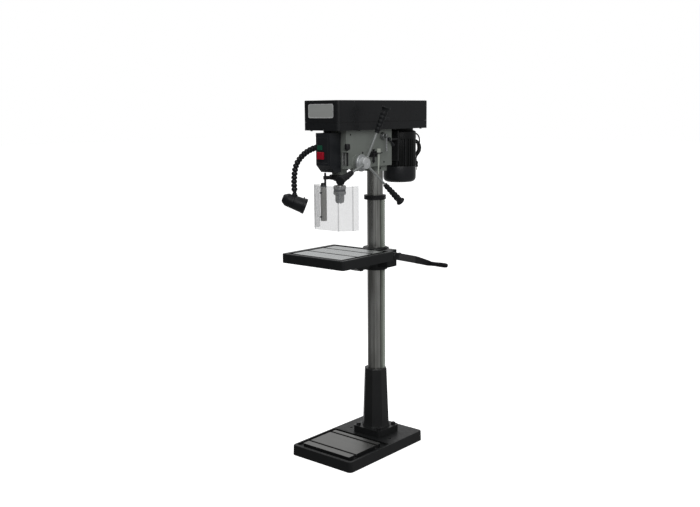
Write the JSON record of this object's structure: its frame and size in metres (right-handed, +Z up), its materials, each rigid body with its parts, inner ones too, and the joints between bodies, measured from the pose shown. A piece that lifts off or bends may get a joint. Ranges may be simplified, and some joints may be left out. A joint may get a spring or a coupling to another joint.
{
  "type": "drill press",
  "caption": "Floor-standing pillar drill with belt-driven spindle, three-arm feed handle, tilting table on a rack and column, clear chuck guard and work lamp.",
  "frame": {"origin": "column axis at the underside of the base", "axes": "+Z up the column, -Y towards the operator, +X to the operator's right"},
  "size_m": [0.534, 0.8373, 1.75],
  "materials": {
    "base_paint": "satin",
    "table_paint": "satin",
    "bolt_steel": "black oxide",
    "column_steel": "ground",
    "rack_steel": "matte",
    "black_steel": "satin",
    "head_paint": "satin",
    "guard_paint": "semi-gloss",
    "black_plastic": "satin",
    "plate_silver": "satin",
    "green_button": "satin",
    "red_button": "satin",
    "hub_silver": "satin silver",
    "chuck_steel": "turned",
    "pulley_aluminium": "turned",
    "belt_rubber": "matte",
    "motor_paint": "satin",
    "chrome": "polished",
    "black_rubber": "matte",
    "lamp_glass": "frosted",
    "post_grey": "satin",
    "clear_shield": "clear polycarbonate",
    "tool_steel": "ground",
    "cord_rubber": "matte",
    "spoke_grey": "satin"
  },
  "bodies": {
    "frame": {"base": "base_paint", "column_foot": "base_paint", "foot_bolt_1": "bolt_steel", "foot_bolt_2": "bolt_steel", "foot_bolt_3": "bolt_steel", "foot_bolt_4": "bolt_steel", "column": "column_steel", "rack_collar": "black_steel", "head_casting": "head_paint", "belt_guard_pan": "guard_paint", "switch_box": "black_plastic", "return_spring_cap": "hub_silver", "front_belt": "belt_rubber", "rear_belt": "belt_rubber", "tool_holder": "black_steel", "guard_arm": "black_steel"},
    "rack_ring": {"rack": "rack_steel"},
    "bracket": {"table_bracket": "table_paint"},
    "table": {"table": "table_paint", "tilt_bolt": "bolt_steel"},
    "crank": {"crank_arm": "black_steel"},
    "crank_handle": {"crank_grip": "black_rubber"},
    "clamp_lever": {"column_clamp_lever": "black_steel"},
    "quill": {"quill": "chuck_steel"},
    "spindle": {"spindle": "chuck_steel", "chuck_body": "chuck_steel"},
    "chuck_ring": {"chuck_sleeve": "chuck_steel"},
    "spindle_pulley": {"spindle_pulley": "pulley_aluminium"},
    "idler": {"idler_pulley": "pulley_aluminium"},
    "rotor": {"motor_pulley": "pulley_aluminium"},
    "motor": {"motor_body": "motor_paint", "fan_cover": "motor_paint", "motor_mount": "black_steel", "cord_gland": "cord_rubber", "cord_lead": "cord_rubber", "cord_coil": "cord_rubber", "power_plug": "cord_rubber"},
    "tension": {"tension_lever": "chrome"},
    "motor_lock": {"motor_lock_handle": "black_steel"},
    "feed": {"feed_hub": "hub_silver", "depth_dial": "hub_silver", "feed_spoke_1": "spoke_grey", "feed_spoke_2": "spoke_grey", "feed_spoke_3": "spoke_grey", "feed_grip_1": "black_rubber", "feed_grip_2": "black_rubber", "feed_grip_3": "black_rubber"},
    "start": {"start_button": "green_button"},
    "stop": {"stop_button": "red_button"},
    "lid": {"belt_guard_lid": "guard_paint", "nameplate": "plate_silver"},
    "latch": {"lid_latch": "black_plastic"},
    "lamp_arm": {"lamp_neck": "black_plastic"},
    "lamp": {"lamp_head": "black_plastic", "lamp_bulb": "lamp_glass"},
    "guard": {"guard_post": "post_grey", "guard_shield": "clear_shield"},
    "depth_stop": {"depth_stop": "black_steel"},
    "chuck_key": {"chuck_key": "black_steel"},
    "drift_key": {"drift_key": "tool_steel"}
  },
  "joints": [
    {"name": "table_swing", "type": "hinge", "parent": "frame", "child": "rack_ring", "pos_m": [0, 0, 0.9], "axis": [0, 0, 1], "continuous": true},
    {"name": "table_lift", "type": "slide", "parent": "rack_ring", "child": "bracket", "axis": [0, 0, 1], "range_m": [-0.5, 0.095]},
    {"name": "table_tilt", "type": "hinge", "parent": "bracket", "child": "table", "pos_m": [0, -0.13, 0.945], "axis": [0, 1, 0], "range_deg": [-45, 45]},
    {"name": "crank_turn", "type": "hinge", "parent": "bracket", "child": "crank", "pos_m": [0.13, 0, 0.987], "axis": [1, 0, 0], "range_deg": [-1800, 350]},
    {"name": "crank_grip_spin", "type": "hinge", "parent": "crank", "child": "crank_handle", "pos_m": [0.25, 0.196, 0.9295], "axis": [1, 0, 0], "continuous": true},
    {"name": "column_clamp_turn", "type": "hinge", "parent": "bracket", "child": "clamp_lever", "pos_m": [0, 0.066, 0.97], "axis": [1, 0, 0], "range_deg": [-40, 40]},
    {"name": "feed_turn", "type": "hinge", "parent": "frame", "child": "feed", "pos_m": [0.126, -0.2285, 1.4575], "axis": [1, 0, 0], "range_deg": [0, 596]},
    {"name": "quill_feed", "type": "slide", "parent": "frame", "child": "quill", "axis": [0, 0, -1], "range_m": [0, 0.1255], "stiffness_N_per_m": 500, "springref_m": -0.3},
    {"name": "motor_turn", "type": "hinge", "parent": "motor", "child": "rotor", "pos_m": [0, 0.2027, 1.664], "axis": [0, 0, 1], "continuous": true},
    {"name": "idler_turn", "type": "hinge", "parent": "frame", "child": "idler", "pos_m": [0, -0.045, 1.664], "axis": [0, 0, 1], "continuous": true},
    {"name": "spindle_pulley_turn", "type": "hinge", "parent": "frame", "child": "spindle_pulley", "pos_m": [0, -0.2685, 1.664], "axis": [0, 0, 1], "continuous": true},
    {"name": "spindle_turn", "type": "hinge", "parent": "quill", "child": "spindle", "pos_m": [0, -0.2685, 1.45], "axis": [0, 0, 1], "continuous": true},
    {"name": "chuck_sleeve_turn", "type": "hinge", "parent": "spindle", "child": "chuck_ring", "pos_m": [0, -0.2685, 1.33], "axis": [0, 0, 1], "range_deg": [-720, 720]},
    {"name": "tension_lever_turn", "type": "hinge", "parent": "frame", "child": "tension", "pos_m": [0.09, -0.033, 1.578], "axis": [1, 0, 0], "range_deg": [0, 60.1]},
    {"name": "motor_tension_slide", "type": "slide", "parent": "frame", "child": "motor", "axis": [0, 1, 0], "range_m": [-0.0157, 0], "deforming": ["rear_belt"]},
    {"name": "motor_lock_turn", "type": "hinge", "parent": "frame", "child": "motor_lock", "pos_m": [0.08, 0.012, 1.562], "axis": [1, 0, 0], "range_deg": [-40, 40]},
    {"name": "lid_hinge", "type": "hinge", "parent": "frame", "child": "lid", "pos_m": [-0.122, 0, 1.6492], "axis": [0, -1, 0], "range_deg": [0, 95]},
    {"name": "lid_latch_turn", "type": "hinge", "parent": "lid", "child": "latch", "pos_m": [0.1001, -0.037, 1.669], "axis": [0, -1, 0], "range_deg": [0, 35]},
    {"name": "start_press", "type": "slide", "parent": "frame", "child": "start", "axis": [0, 1, 0], "range_m": [0, 0.003], "stiffness_N_per_m": 300},
    {"name": "stop_press", "type": "slide", "parent": "frame", "child": "stop", "axis": [0, 1, 0], "range_m": [0, 0.004], "stiffness_N_per_m": 300},
    {"name": "lamp_neck_swing", "type": "hinge", "parent": "frame", "child": "lamp_arm", "pos_m": [-0.043, -0.36, 1.532], "axis": [1, 0, 0], "range_deg": [-60, 3]},
    {"name": "lamp_head_tilt", "type": "hinge", "parent": "lamp_arm", "child": "lamp", "pos_m": [-0.172, -0.4, 1.323], "axis": [-0.6157, 0.788, 0], "range_deg": [-30, 30]},
    {"name": "guard_swing", "type": "hinge", "parent": "frame", "child": "guard", "pos_m": [-0.023, -0.345, 1.3], "axis": [0, 0, 1], "range_deg": [-50, 0]},
    {"name": "depth_stop_turn", "type": "hinge", "parent": "frame", "child": "depth_stop", "pos_m": [0.0872, -0.311, 1.5], "axis": [0, 0, 1], "continuous": true},
    {"name": "chuck_key_lift", "type": "slide", "parent": "frame", "child": "chuck_key", "axis": [0, 0, 1], "range_m": [0, 0.06]},
    {"name": "drift_key_lift", "type": "slide", "parent": "frame", "child": "drift_key", "axis": [0, 0, 1], "range_m": [0, 0.08]}
  ],
  "couplings": [
    {"joint": "crank_turn", "follows": "table_lift", "rad_per_m": 62.5},
    {"joint": "quill_feed", "follows": "feed_turn", "m_per_rad": 0.012},
    {"joint": "tension_lever_turn", "follows": "motor_tension_slide", "rad_per_m": -66.667},
    {"joint": "idler_turn", "follows": "motor_turn", "ratio": 0.5625},
    {"joint": "spindle_pulley_turn", "follows": "motor_turn", "ratio": 0.6075},
    {"joint": "spindle_turn", "follows": "motor_turn", "ratio": 0.6075}
  ]
}
